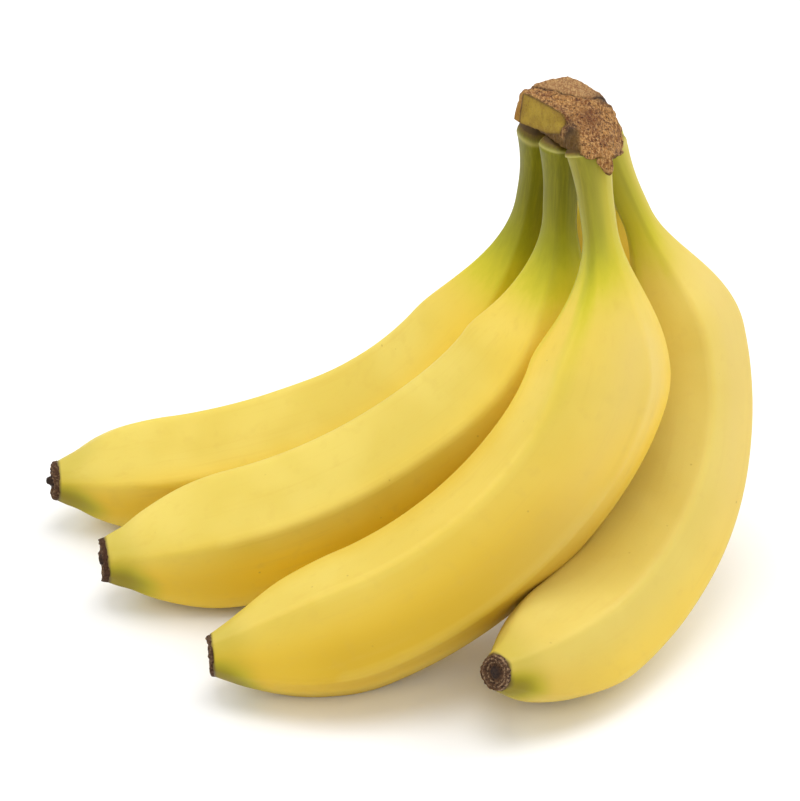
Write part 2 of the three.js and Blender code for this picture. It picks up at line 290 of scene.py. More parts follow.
# Colours by their screen values from 0 to 255.
# Of the peel's colours, gold and olive are painted shade on the low side, ridge is a painted highlight, and
# bloom is painted sheen over the wax.
PEEL = dict(
    yellow=(214, 190, 76), light_yellow=(221, 199, 90), shade_gold=(248, 204, 12), shade_olive=(196, 158, 20),
    ridge=(232, 212, 104), streak=(206, 170, 58), mottle=(196, 160, 62), bloom_and_sheen=(216, 190, 118),
    lime=(200, 188, 36), green=(154, 152, 18), leaf=(109, 107, 3), light_leaf=(124, 121, 8),
    tip=(128, 111, 8), straw=(200, 180, 84), collar=(98, 72, 14), collar_streak=(84, 62, 28),
    collar_end=(62, 42, 14), arc=(196, 186, 110), freckle=(150, 110, 40), scar=(78, 54, 30))
# Of the cork's colours, under is painted shade below the crown and in its hollow places.
CORK = dict(
    brown=(122, 74, 34), light_brown=(164, 116, 60), fibre=(204, 158, 98), red=(96, 50, 24),
    cluster=(58, 28, 16), tan=(146, 102, 60), light_tan=(182, 144, 94), speckle=(78, 46, 28),
    under=(82, 58, 12), dark=(36, 30, 28), strip=(150, 122, 36), light_strip=(168, 140, 46),
    strip_speckle=(104, 78, 30), strip_blotch=(120, 86, 34), strip_rim=(120, 84, 30),
    strip_end=(146, 98, 36), light_strip_end=(164, 124, 44), outline=(66, 44, 24))
SCAR = dict(
    brown=(50, 34, 24), light_brown=(98, 70, 48), ring=(172, 144, 110), stub=(36, 30, 30), rim=(58, 34, 20))
FLOOR = dict(white=(246, 246, 246), light_white=(250, 250, 250))

# The floor reaches this far each way, in metres.
FLOOR_REACH = 6.0

# Broad lamps around the bunch, all aimed at it: name, place in metres and watts.
LAMPS = [
    ("top", (0, 0, 1.4), 6.6),
    ("left_back", (-0.85, 0.6, 0.95), 3.4),
    ("left", (-1.1, 0, 0.85), 2.6),
    ("front", (0, -1.1, 0.85), 3.5),
    ("right", (1.1, 0, 0.85), 1.3),
    ("right_back", (0.85, 0.6, 0.95), 6.2),
]
# Their width and the point that they face, in metres, and the strength of the white sky.
LAMP_SIZE = 1.0
LAMP_TARGET = (0, 0, 0.03)
SKY_STRENGTH = 0.6


def smooth(t):
    """Smooth step from 0 to 1."""
    t = np.clip(t, 0, 1)
    return t * t * (3 - 2 * t)


def rise(value, start, end):
    """0 up to start, 1 from end on, smooth between them."""
    return smooth((value - start) / (end - start))


def between(value, grows, fades):
    """Rises over one range and falls over another."""
    return rise(value, *grows) * (1 - rise(value, *fades))


def bell(value, middle, width):
    """1 in the middle, falling to 0 on both sides."""
    return np.exp(-((value - middle) / width) ** 2)


def lerp(a, b, t):
    return a + (b - a) * t


def unit(vectors):
    return vectors / np.linalg.norm(vectors, axis=-1, keepdims=True)


def soft_noise(points, size, seed):
    """Smooth noise from -1 to 1 at points, with features of about this size."""
    table = np.random.default_rng(seed).uniform(-1, 1, (NOISE_CELLS,) * 3)
    place = points / size + NOISE_START
    cell = np.floor(place).astype(int)
    part = smooth(place - cell)
    total = np.zeros(len(points))
    for corner in itertools.product((0, 1), repeat=3):
        x, y, z = ((cell + corner) % NOISE_CELLS).T
        total += table[x, y, z] * np.prod(np.where(corner, part, 1 - part), axis=1)
    return total


def layered_noise(points, layers, seed):
    return sum(height * soft_noise(points, size, seed + shift) for height, size, shift in layers)


def grid_noise(grid, size, seed, across=1, along=1):
    """Soft noise over a grid of points. It changes more slowly across or along where those are below 1."""
    points = grid.reshape(-1, 3) * [across, across, along]
    return soft_noise(points, size, seed).reshape(grid.shape[:2])


def turn_at(turn, share):
    """The angle of a finger at shares of its length, on a smooth curve through its given angles."""
    last = len(turn) - 1
    place = np.clip(share, 0, 1) * last
    cell = np.minimum(np.floor(place).astype(int), last - 1)
    t = place - cell
    angles = np.array(turn, float)
    p0, p1 = angles[np.maximum(cell - 1, 0)], angles[cell]
    p2, p3 = angles[cell + 1], angles[np.minimum(cell + 2, last)]
    leaving, arriving = (p2 - p0) / 2, (p3 - p1) / 2
    squared = -3 * p1 + 3 * p2 - 2 * leaving - arriving
    cubed = 2 * p1 - 2 * p2 + leaving + arriving
    return p1 + t * (leaving + t * (squared + t * cubed))


def spine_of(finger, shares):
    """Places, directions along, and two directions across a finger, at shares of its length."""
    heading, lean = math.radians(finger["heading"]), math.radians(finger["lean"])
    ahead = np.array([-math.sin(heading), -math.cos(heading), 0])
    down = np.array([-math.cos(heading), math.sin(heading), 0]) * math.sin(lean)
    down[2] -= math.cos(lean)
    across = np.cross(down, ahead)
    fine = np.linspace(0, 1, SPINE_STEPS + 1)
    angle = np.radians(turn_at(finger["turn"], fine))[:, None]
    aside = (math.radians(finger["sweep"]) * (2 * fine - 1))[:, None]
    along = (down * np.cos(angle) + ahead * np.sin(angle)) * np.cos(aside) + across * np.sin(aside)
    steps = (along[1:] + along[:-1]) / 2 * finger["length"] / SPINE_STEPS
    places = np.vstack([np.zeros(3), np.cumsum(steps, axis=0)]) + finger["neck_top"]
    place = np.stack([np.interp(shares, fine, places[:, k]) for k in range(3)], axis=1)
    along = unit(np.stack([np.interp(shares, fine, along[:, k]) for k in range(3)], axis=1))
    side = unit(across - along * (along @ across)[:, None])
    return place, along, side, np.cross(side, along)


def radius_at(finger, share):
    fullness = 1 - END_SLIMMING * ((share - FULLEST) / FULLEST_REACH) ** 2
    growth = rise(share, NECK_END, finger["shoulder"])
    narrowing = np.maximum(0, (share - finger["taper"]) / (1 - finger["taper"])) ** TAPER_POWER
    flare = NECK_FLARE * np.maximum(0, 1 - share / FLARE_END) ** 2
    radius = lerp(finger["neck"] * (1 + flare), finger["body"] * fullness, growth)
    return lerp(radius, finger["end"], narrowing) - finger["pinch"] * bell(share, PINCH_AT, PINCH_WIDTH)


def ridges_at(share):
    fading = 1 - RIDGE_FADING * rise(share, RIDGE_FADING_START, 1)
    return NECK_RIDGES + (BODY_RIDGES - NECK_RIDGES) * rise(share, NECK_END, RIDGES_FULL) * fading


def section_at(angle, ridges):
    """The section's reach at an angle from the middle of a face: a rounded pentagon."""
    faces = 2 * math.pi * np.arange(FACES) / FACES
    reach = np.maximum(0, np.cos(angle[..., None] - faces)) ** RIDGE_SHARPNESS
    pentagon = reach.sum(axis=-1) ** (-1 / RIDGE_SHARPNESS)
    return (1 + (pentagon - 1) * ridges) / (1 + RIDGE_WIDENING * ridges)


def ridge_closeness(angle):
    """1 on a ridge, 0 in the middle of a face."""
    return 0.5 - 0.5 * np.cos(FACES * angle)


def finger_surface(finger, seed):
    """A finger's rings from inside the crown to its blossom end, and what its tints need at each point."""
    root = np.linspace(-1, 0, ROOT_SECTIONS, endpoint=False)
    shares = np.concatenate([root, np.linspace(0, 1, SECTIONS)])
    share, inside = np.maximum(shares, 0)[:, None], np.maximum(-shares, 0)[:, None]
    place, along, side, inner = spine_of(finger, share[:, 0])
    place = lerp(place, np.array(finger["root"], float), inside)
    widening = lerp(1, ROOT_WIDENING, rise(inside, 0, finger["lip"]))
    undercut = 1 - ROOT_UNDERCUT * rise(inside, finger["lip"], 1)
    radius = radius_at(finger, share) * widening * undercut
    angle = np.linspace(0, 2 * math.pi, SIDES, endpoint=False)[None, :]
    distance = share * finger["length"] - inside * ROOT_DEPTH + FIELD_STEP * seed
    straight = np.stack(
        np.broadcast_arrays(radius * np.cos(angle), radius * np.sin(angle), distance), axis=-1)
    wander = grid_noise(straight, WANDER_SIZE, seed, across=WANDER_ACROSS)
    wander = RIDGE_WANDER * wander * rise(share, NECK_END, RIDGES_FULL)
    reach = radius * section_at(angle + wander, ridges_at(share))
    for step, (height, size, speed, grows, fades) in enumerate(RELIEF, start=1):
        relief = grid_noise(straight, size, seed + 10 * step, along=speed)
        reach = reach + height * between(share, grows, fades) * relief
    looking = math.radians(finger["roll"]) + angle
    towards = smooth(np.cos(looking - math.radians(BULGE_TOWARDS)))
    for bulge_share, bulge_height in finger["bulges"]:
        reach = reach + bulge_height * bell(share, bulge_share, BULGE_WIDTH) * towards
    outward = inner[:, None] * np.cos(looking)[..., None] + side[:, None] * np.sin(looking)[..., None]
    points = place[:, None] + outward * reach[..., None]
    points[..., 2] = np.maximum(points[..., 2], ORIGIN[2])
    return points, dict(
        straight=straight, share=share, inside=inside, ridge=ridge_closeness(angle + wander),
        upward=outward[..., 2], turned=np.cos(looking))


def peel_tints(finger, seed, surface):
    """How strong each tint is over a finger's rings, and on the points past them."""
    straight, share, inside = surface["straight"], surface["share"], surface["inside"]
    ridge, upward, turned = surface["ridge"], surface["upward"], surface["turned"]
    patch = grid_noise(straight, PATCH_SIZE, seed + 50)
    long_patch = grid_noise(straight, LONG_PATCH_SIZE, seed + 60, along=LONG_PATCH_ALONG)
    ragged_share = share - TIP_RAGGEDNESS * long_patch
    # The far end's green and dark tints are its own colour; their extra strength on the side that looks down
    # is painted shade.
    below = 1 - rise(upward, *TIP_SIDE_ENDS)
    tip = rise(ragged_share, *TIP_OLIVE_GROWS) * lerp(0.28, 1, below)
    tip_green = rise(ragged_share, *TIP_GREEN_GROWS) * lerp(0.12, 0.46, below)
    inner_side = rise(turned, *INNER_SIDE)
    neck_green = 1 - rise(share - NECK_RAGGEDNESS * patch, GREEN_START, finger["green_to"])
    neck_green = neck_green * (1 - finger["one_sided"] * (1 - inner_side))
    streaks = 0.45 * finger["one_sided"] * (1 - rise(share, *STREAKS_FADE))
    streaks = streaks * rise(ridge, 0.3, 1) * rise(turned, *STREAK_SIDE)
    green = np.clip((neck_green + streaks) * finger["green"] + tip_green, 0, 1)
    straw = finger["straw"] * (1 - rise(share, *STRAW_FADES)) * lerp(1, 0.35, rise(turned, *STRAW_SIDE_ENDS))
    # Painted shade: a deeper golden tint where a point looks down, weaker on the very underside and near the
    # far end.
    low = smooth(LOW_SIDE_ENDS + finger["shade_gold"] * rise(share, *SHADE_CLIMBS) - upward)
    underneath = 1 - rise(upward, *UNDERNEATH_ENDS)
    low = low * (1 - 0.6 * underneath) * (1 - 0.3 * rise(share, *LOW_SIDE_FADES))
    # Painted sheen, partly the peel's wax: a pale tint on the outer side of the upper body, with each
    # finger's overall paleness added, weaker where the low side has painted shade.
    bloom_and_sheen = bell(turned, BLOOM_SHEEN_MIDDLE, BLOOM_SHEEN_WIDTH) * between(share, BLOOM_SHEEN_GROWS, BLOOM_SHEEN_FADES)
    wax_and_sheen = np.clip(finger["wax_and_sheen"] * bloom_and_sheen + finger["pale"], 0, 1) * (1 - 0.5 * low * finger["shade_depth"])
    collar_start = COLLAR_START * finger["lip"]
    return dict(
        tip=(tip, 1),
        green=(green, 0.3),
        straw=(straw, 0),
        low=(finger["shade_depth"] * low * lerp(0.4, 1, rise(share, *LOW_SIDE_GROWS)), 0),
        wax_and_sheen=(wax_and_sheen, 0),
        shade_olive=(low * rise(share, finger["shade_olive"], finger["shade_olive"] + OLIVE_LENGTH), 0),
        # Painted highlight along the ridges.
        ridge=(ridge * between(share, RIDGE_HIGHLIGHT_GROWS, RIDGE_HIGHLIGHT_FADES), 0),
        collar=(rise(inside, collar_start, collar_start + COLLAR_LENGTH), 0),
        arc=(bell(inside, collar_start, ARC_WIDTH) * rise(inside, 0, ARC_START * finger["lip"]), 0),
        scar=(rise(share - SCAR_RAGGEDNESS * long_patch, *SCAR_GROWS), 1))


def tube_faces(rings, sides):
    ring = np.arange(rings - 1)[:, None] * sides
    step = np.arange(sides)[None, :]
    after = (step + 1) % sides
    quads = np.stack([ring + step, ring + sides + step, ring + sides + after, ring + after], axis=-1)
    return quads.reshape(-1, 4).tolist()


def cap_faces(first, sides, centre, flip):
    """A fan from a ring to its centre."""
    faces = [(first + i, first + (i + 1) % sides, centre) for i in range(sides)]
    return [face[::-1] for face in faces] if flip else faces


def piece_from(name, points, faces, material, node):
    """A piece in the drawing's millimetres becomes an object in metres that stands for a node."""
    mesh = bpy.data.meshes.new(name)
    mesh.from_pydata(((points - ORIGIN) * MM).tolist(), [], faces)
    mesh.polygons.foreach_set("use_smooth", np.ones(len(mesh.polygons), bool))
    mesh.materials.append(material)
    mesh.validate()
    piece = bpy.data.objects.new(name, mesh)
    bpy.context.scene.collection.objects.link(piece)
    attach(piece, "root")
    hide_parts(node)
    return piece


def write_values(piece, name, values):
    """Keeps a number or a vector for every point of a piece."""
    values = np.ascontiguousarray(values, dtype=np.float32)
    kind, field = ("FLOAT_VECTOR", "vector") if values.ndim == 2 else ("FLOAT", "value")
    piece.data.attributes.new(name, kind, "POINT").data.foreach_set(field, values.ravel())


def make_finger(finger, seed, material):
    """A finger's peel, closed inside the crown and under its blossom end, with its tints."""
    points, surface = finger_surface(finger, seed)
    along = spine_of(finger, np.array([1.0]))[1][0]
    rim = points[-1]
    middle = rim.mean(axis=0)
    lips = [lerp(rim, middle, inward) + along * out for inward, out in END_LIPS]
    corners = np.vstack([points.reshape(-1, 3), *lips, middle - along * END_DEPTH, points[0].mean(axis=0)])
    rings = len(points) + len(lips)
    last = (rings - 1) * SIDES
    faces = tube_faces(rings, SIDES)
    faces += cap_faces(last, SIDES, last + SIDES, False)
    faces += cap_faces(0, SIDES, last + SIDES + 1, True)
    faces = [face[::-1] for face in faces]
    piece = piece_from(finger["name"] + "_peel", corners, faces, material, finger["name"])
    extra = len(corners) - len(points) * SIDES
    for name, (values, beyond) in peel_tints(finger, seed, surface).items():
        values = np.broadcast_to(values, (len(points), SIDES)).ravel()
        write_values(piece, name, np.concatenate([values, np.full(extra, beyond)]))
    far_end = np.tile([0, 0, finger["length"] + FIELD_STEP * seed], (extra, 1))
    write_values(piece, "straight", np.vstack([surface["straight"].reshape(-1, 3), far_end]))


def make_blossom_end(finger, seed, material):
    """A dried scar: ragged rim, fibrous rings and a stub in the middle, on a closed back."""
    place, along, side, inner = (values[0] for values in spine_of(finger, np.array([1.0])))
    angle = np.linspace(0, 2 * math.pi, SIDES, endpoint=False)
    circle = SCAR_CIRCLE * np.stack([np.cos(angle), np.sin(angle), np.zeros(SIDES)], axis=1)
    ragged = 1 + layered_noise(circle, RIM_RAGGEDNESS, seed)
    rim_height = min(RIM_HEIGHT, RIM_SHARE * finger["scar"]) + layered_noise(circle, RIM_UNEVENNESS, seed)
    share = np.linspace(0, 1, SCAR_RINGS)[:, None]
    distance = finger["end"] * share * ragged
    local = np.stack([distance * np.cos(angle), distance * np.sin(angle), np.zeros(distance.shape)], axis=-1)
    grain = grid_noise(local, GRAIN_SIZE, seed + 3)
    coarse = grid_noise(local, COARSE_SIZE, seed + 4)
    stub = (finger["scar"] - STUB_BASE) * (1 - rise(distance - STUB_WOBBLE * coarse, *STUB_FOOT))
    rim = rim_height * rise(share, *RIM_GROWS) * (1 - rise(share, *RIM_FALLS) ** 2)
    waves = np.sin(distance * RIPPLES + coarse * RIPPLE_WOBBLE)
    ripples = RIPPLE_HEIGHT * waves * rise(distance, *RIPPLES_GROW)
    height = FACE_HEIGHT + stub + rim + ripples + GRAIN_HEIGHT * grain * rise(distance, *GRAIN_GROWS)
    height = np.where(share == 1, EDGE_HEIGHT, height)
    front = place + inner * local[..., :1] + side * local[..., 1:2] + along * height[..., None]
    back = place - along * BACK_DEPTH
    under = back + (front[-1] - place) * BACK_SHARE
    points = np.vstack([front[1:].reshape(-1, 3), under, front[0, 0], back])
    last = (SCAR_RINGS - 1) * SIDES
    faces = tube_faces(SCAR_RINGS, SIDES)
    faces += cap_faces(0, SIDES, last + SIDES, True)
    faces += cap_faces(last, SIDES, last + SIDES + 1, False)
    node = "blossom_end_" + finger["name"].split("_")[1]
    piece = piece_from("dried_" + node, points, faces, material, node)
    from_middle = np.concatenate([distance[1:].ravel(), np.full(SIDES, finger["end"]), [0.0, 0.0]])
    write_values(piece, "from_middle", from_middle)


def hull_into(build, corners):
    """Adds the convex hull of some corners to a mesh under construction."""
    start = [build.verts.new(Vector((np.array(corner) - ORIGIN) * MM)) for corner in corners]
    result = bmesh.ops.convex_hull(build, input=start)
    loose = [item for item in result["geom_interior"] if isinstance(item, bmesh.types.BMVert)]
    bmesh.ops.delete(build, geom=loose, context="VERTS")


def tongue_corners(row):
    """A tilted ring around one point of a tongue."""
    x, y, z, radius = row
    angles = np.linspace(0, 2 * math.pi, TONGUE_SIDES, endpoint=False)
    return [(x + radius * math.cos(a), y + TONGUE_DEPTH * radius * math.sin(a),
             z + TONGUE_TILT * radius * math.sin(a)) for a in angles]


def crown_hulls():
    """Pad, strip, apron and tongues as overlapping hulls in one mesh."""
    build = bmesh.new()
    for corners in (PAD_TOP + PAD_UNDERSIDE, SKIN_STRIP, APRON):
        hull_into(build, corners)
    for tongue in TONGUES:
        for upper, lower in zip(tongue, tongue[1:]):
            hull_into(build, tongue_corners(upper) + tongue_corners(lower))
    bmesh.ops.recalc_face_normals(build, faces=build.faces[:])
    mesh = bpy.data.meshes.new("cut_crown")
    build.to_mesh(mesh)
    build.free()
    return mesh


def make_crown(material):
    """The cut pad, its strip of skin and its tongues as one weathered solid."""
    hulls = crown_hulls()
    piece = bpy.data.objects.new("cut_crown", hulls)
    bpy.context.scene.collection.objects.link(piece)
    remesh = piece.modifiers.new("grown together", "REMESH")
    remesh.mode = "VOXEL"
    remesh.voxel_size = CROWN_VOXEL * MM
    remesh.use_smooth_shade = True
    soften = piece.modifiers.new("softened edges", "SMOOTH")
    soften.factor = CROWN_SOFTENING
    soften.iterations = 2
    shaped = bpy.data.meshes.new_from_object(piece.evaluated_get(bpy.context.evaluated_depsgraph_get()))
    piece.modifiers.clear()
    piece.data = shaped
    bpy.data.meshes.remove(hulls)
    weather_crown(piece)
    shaped.materials.clear()
    shaped.materials.append(material)
    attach(piece, "root")
    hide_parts("crown")


def strip_masks(points, normals):
    """Where the strip of skin, its outline, its cut end and its rim are on the crown."""
    facing, along = unit(STRIP_FACING), unit(STRIP_ALONG)
    upward = np.cross(along, facing)
    across = np.stack([along, upward * np.sign(upward[2])], axis=1)
    corners = (np.array(SKIN_STRIP[STRIP_OUTLINE]) - STRIP_PLACE) @ across
    flat = (points - STRIP_PLACE) @ across
    depth = np.full(len(points), np.inf)
    for corner, after in zip(corners, np.roll(corners, -1, axis=0)):
        edge = unit(after - corner)
        depth = np.minimum(depth, (flat - corner) @ np.array([edge[1], -edge[0]]))
    in_front = rise((points - STRIP_PLACE) @ facing, *STRIP_STARTS) * rise(normals @ facing, *STRIP_LOOKS)
    return dict(
        skin=rise(depth, *STRIP_EDGE) * in_front,
        outline=bell(depth, 0, STRIP_OUTLINE_WIDTH) * in_front,
        strip_end=(1 - rise(flat[:, 0], *STRIP_END_FADES)) * in_front,
        strip_rim=bell(depth, 0, STRIP_RIM_WIDTH) * in_front)


def spot_at(points, spot):
    middle, reach = spot
    return np.exp(-(((points - middle) / reach) ** 2).sum(axis=1))


def corner_at(first, second, ends):
    """1 below both ends, which are where two coordinates stop it."""
    return (1 - rise(first, *ends[0])) * (1 - rise(second, *ends[1]))


def cut_masks(points, normals, skin):
    """Where the cut gets painted shade underneath and in its hollow places, where it is pale, dark or red on
    the crown, and its crack.
    """
    x, y, z = points.T
    top = rise(normals[:, 2], *TOP_LOOKS)
    strays = PALE_CUT_STRAYS * soft_noise(points, PALE_CUT_SIZE, CORK_SEED)
    behind = y - np.interp(x, *np.array(PALE_CUT).T) - strays
    crack = bell(behind, 0, CRACK_WIDTH) * top
    hollows = np.maximum(corner_at(x, y, SHADED_RECESS), corner_at(x, z, SHADED_BELOW_STRIP))
    # Painted shade: darker where the cut looks down and in the hollow places beside and below the strip, but
    # not on the skin strip.
    under = np.maximum(rise(-normals[:, 2], *SHADE_UNDER_LOOKS), hollows) * (1 - skin)
    dark = np.clip(spot_at(points, DARK_SPOT) + 0.9 * spot_at(points, EDGE_SPOT) + 0.8 * crack, 0, 1)
    pale = rise(behind, *PALE_CUT_EDGE) * top
    return dict(under=under, pale=pale, dark=dark, red=spot_at(points, RED_SPOT)), crack


def read_vectors(mesh, field):
    values = np.empty(len(mesh.vertices) * 3)
    mesh.vertices.foreach_get(field, values)
    return values.reshape(-1, 3)


def weather_crown(piece):
    """Roughens the cut, keeps the skin strip smooth, and writes down which is which."""
    mesh = piece.data
    points, normals = read_vectors(mesh, "co") / MM + ORIGIN, read_vectors(mesh, "normal")
    strip = strip_masks(points, normals)
    cut, crack = cut_masks(points, normals, strip["skin"])
    smoothness = np.clip(strip["skin"] + strip["strip_end"], 0, 1)
    rough = (1 - SKIN_SMOOTHNESS * smoothness) * (1 - PALE_SMOOTHNESS * cut["pale"])
    shift = (layered_noise(points, CORK_RELIEF, CORK_SEED) - CRACK_DEPTH * crack) * rough
    shift = shift + layered_noise(points, SKIN_RELIEF, CORK_SEED) * smoothness
    points = points + normals * shift[:, None]
    mesh.vertices.foreach_set("co", ((points - ORIGIN) * MM).ravel())
    mesh.update()
    for name, values in (strip | cut).items():
        write_values(piece, name, values)


def new_material(name):
    material = bpy.data.materials.new(name)
    material.use_nodes = True
    tree = material.node_tree
    return material, tree, tree.nodes["Principled BSDF"]


def fill(tree, item, inputs):
    """Sets a node's inputs, or links them."""
    for key, value in inputs.items():
        if isinstance(value, bpy.types.NodeSocket):
            tree.links.new(value, item.inputs[key])
        else:
            item.inputs[key].default_value = value


def add(tree, kind, inputs=None, **settings):
    """A node with its settings, and its inputs either set or linked."""
    item = tree.nodes.new(kind)
    for key, value in settings.items():
        setattr(item, key, value)
    fill(tree, item, inputs or {})
    return item


def rgb(colour):
    """A colour given by its screen values from 0 to 255, as linear light."""
    values = np.array(colour) / 255
    linear = np.where(values <= 0.04045, values / 12.92, ((values + 0.055) / 1.055) ** 2.4)
    return (*linear.tolist(), 1)


def mix(tree, factor, first, second):
    return add(tree, "ShaderNodeMix", {0: factor, 6: first, 7: second}, data_type="RGBA").outputs[2]


def shades(tree, factor, first, second):
    """Between two colours given by their screen values."""
    return mix(tree, factor, rgb(first), rgb(second))


def overlay(tree, colour, layers):
    """A colour with others over it, each with its mask, how strong it is at most, and its screen values."""
    for mask, strength, tint in layers:
        colour = mix(tree, times(tree, mask, strength), colour, rgb(tint))
    return colour


def math_node(tree, operation, first, second=0.0):
    return add(tree, "ShaderNodeMath", {0: first, 1: second}, operation=operation).outputs[0]


def times(tree, first, second):
    return math_node(tree, "MULTIPLY", first, second)


def plus(tree, first, second):
    return math_node(tree, "ADD", first, second)


def opposite(tree, value):
    return math_node(tree, "SUBTRACT", 1.0, value)


def ramp(tree, value, low, high):
    """0 below low, 1 above high, smooth between them."""
    return add(tree, "ShaderNodeMapRange", {"Value": value, "From Min": low, "From Max": high},
               interpolation_type="SMOOTHSTEP").outputs["Result"]


def attribute(tree, name, output="Fac"):
    return add(tree, "ShaderNodeAttribute", attribute_name=name).outputs[output]


def object_place(tree):
    """The place on the object, in metres."""
    return add(tree, "ShaderNodeTexCoord").outputs["Object"]


def millimetre_place(tree):
    """The place on the object, in millimetres."""
    return add(tree, "ShaderNodeMapping", {"Vector": object_place(tree), "Scale": (1 / MM,) * 3}).outputs[0]


def noise(tree, place, scale, detail=3.0, stretch=(1, 1, 1), roughness=0.5):
    """Noise with features of about 1/scale millimetres."""
    mapping = add(tree, "ShaderNodeMapping", {"Vector": place, "Scale": stretch})
    inputs = {"Vector": mapping.outputs[0], "Scale": scale, "Detail": detail, "Roughness": roughness}
    return add(tree, "ShaderNodeTexNoise", inputs).outputs["Fac"]


def bump(tree, height, distance, strength, below=None):
    """Relief from a height. The distance is in millimetres, and below is the relief that it lies on."""
    inputs = {"Height": height, "Distance": distance * MM, "Strength": strength}
    if below is not None:
        inputs["Normal"] = below
    return add(tree, "ShaderNodeBump", inputs).outputs["Normal"]


def yellow_peel(tree, place, streaks, mottle):
    """Yellow with painted shade low down, golden and greener towards the far end, a painted highlight on the
    ridges, and painted sheen over the wax that pales it.
    """
    broad = ramp(tree, noise(tree, place, scale=0.035, detail=2.0), 0.35, 0.65)
    colour = shades(tree, broad, PEEL["yellow"], PEEL["light_yellow"])
    return overlay(tree, colour, (
        # Painted shade on the low side: golden, then greener towards the far end.
        (attribute(tree, "low"), 1.0, PEEL["shade_gold"]),
        (attribute(tree, "shade_olive"), 0.9, PEEL["shade_olive"]),
        # Painted highlight: a lighter yellow along the ridges.
        (ramp(tree, attribute(tree, "ridge"), 0.88, 1.0), 0.16, PEEL["ridge"]),
        (ramp(tree, streaks, 0.5, 0.75), 0.2, PEEL["streak"]),
        (ramp(tree, mottle, 0.55, 0.75), 0.14, PEEL["mottle"]),
        # Painted sheen over the peel's wax, with each finger's overall paleness.
        (attribute(tree, "wax_and_sheen"), 0.65, PEEL["bloom_and_sheen"])))


def green_peel(tree, colour, streaks, fine_streaks):
    """The green of neck and far end, and the straw at the neck's top, over the yellow."""
    green = attribute(tree, "green")
    raggedness = times(tree, math_node(tree, "SUBTRACT", streaks, 0.5), 0.15)
    amount = plus(tree, green, times(tree, raggedness, ramp(tree, green, 0.05, 0.3)))
    colour = overlay(tree, colour, (
        (ramp(tree, amount, 0.02, 0.35), 1.0, PEEL["lime"]),
        (ramp(tree, amount, 0.2, 0.65), 1.0, PEEL["green"])))
    leaf = shades(tree, ramp(tree, fine_streaks, 0.35, 0.7), PEEL["leaf"], PEEL["light_leaf"])
    colour = mix(tree, ramp(tree, amount, 0.45, 1.0), colour, leaf)
    return overlay(tree, colour, (
        (attribute(tree, "tip"), 0.88, PEEL["tip"]),
        (attribute(tree, "straw"), 0.85, PEEL["straw"])))


def freckles(tree, place):
    """A few small spots, in patches."""
    cells = add(tree, "ShaderNodeTexVoronoi", {"Vector": place, "Scale": 0.16}).outputs["Distance"]
    chosen = ramp(tree, noise(tree, place, scale=0.09, detail=1.0), 0.52, 0.6)
    return times(tree, opposite(tree, ramp(tree, cells, 0.03, 0.075)), chosen)


def brown_peel(tree, place, colour, fine_streaks):
    """The brown of the root, the pale line around it, freckles and the scar's edge."""
    collar = attribute(tree, "collar")
    gaps = opposite(tree, ramp(tree, fine_streaks, 0.3, 0.55))
    return overlay(tree, colour, (
        (collar, 0.95, PEEL["collar"]),
        (times(tree, gaps, collar), 0.6, PEEL["collar_streak"]),
        (ramp(tree, collar, 0.9, 1.0), 0.6, PEEL["collar_end"]),
        (attribute(tree, "arc"), 0.45, PEEL["arc"]),
        (freckles(tree, place), 0.4, PEEL["freckle"]),
        (attribute(tree, "scar"), 0.85, PEEL["scar"])))


def peel_material():
    material, tree, shader = new_material("banana_peel")
    place = attribute(tree, "straight", "Vector")
    streaks = noise(tree, place, scale=0.5, detail=4.0, stretch=(1, 1, 0.04), roughness=0.6)
    fine_streaks = noise(tree, place, scale=1.6, detail=3.0, stretch=(1, 1, 0.05), roughness=0.6)
    mottle = noise(tree, place, scale=0.2, detail=4.0)
    colour = yellow_peel(tree, place, streaks, mottle)
    colour = green_peel(tree, colour, streaks, fine_streaks)
    colour = brown_peel(tree, place, colour, fine_streaks)
    pores = bump(tree, noise(tree, place, scale=1.6, detail=3.0), distance=0.05, strength=0.3)
    rough = add(tree, "ShaderNodeMapRange", {"Value": mottle, "To Min": 0.42, "To Max": 0.56})
    fill(tree, shader, {
        "Base Color": colour,
        "Roughness": rough.outputs["Result"],
        "Specular IOR Level": 0.25,
        "Subsurface Weight": 0.1,
        "Subsurface Radius": (1.0, 0.55, 0.12),
        "Subsurface Scale": 2.0 * MM,
        "Normal": bump(tree, streaks, distance=0.12, strength=0.25, below=pores)})
    return material


def cut_cork(tree, coarse, middling, speckle, fibres):
    """Brown cork with pale fibres and dark clusters, paler behind the crack, with painted shade below."""
    colour = shades(tree, ramp(tree, coarse, 0.38, 0.6), CORK["brown"], CORK["light_brown"])
    clusters = ramp(tree, plus(tree, middling, times(tree, speckle, 0.8)), 0.9, 1.02)
    colour = overlay(tree, colour, (
        (ramp(tree, fibres, 0.46, 0.6), 0.8, CORK["fibre"]),
        (attribute(tree, "red"), 0.65, CORK["red"]),
        (clusters, 0.85, CORK["cluster"])))
    tan = shades(tree, ramp(tree, fibres, 0.4, 0.6), CORK["tan"], CORK["light_tan"])
    colour = mix(tree, times(tree, attribute(tree, "pale"), 0.85), colour, tan)
    return overlay(tree, colour, (
        (ramp(tree, speckle, 0.53, 0.62), 0.6, CORK["speckle"]),
        # Painted shade underneath and in the hollow places.
        (attribute(tree, "under"), 0.85, CORK["under"]),
        (attribute(tree, "dark"), 0.9, CORK["dark"])))


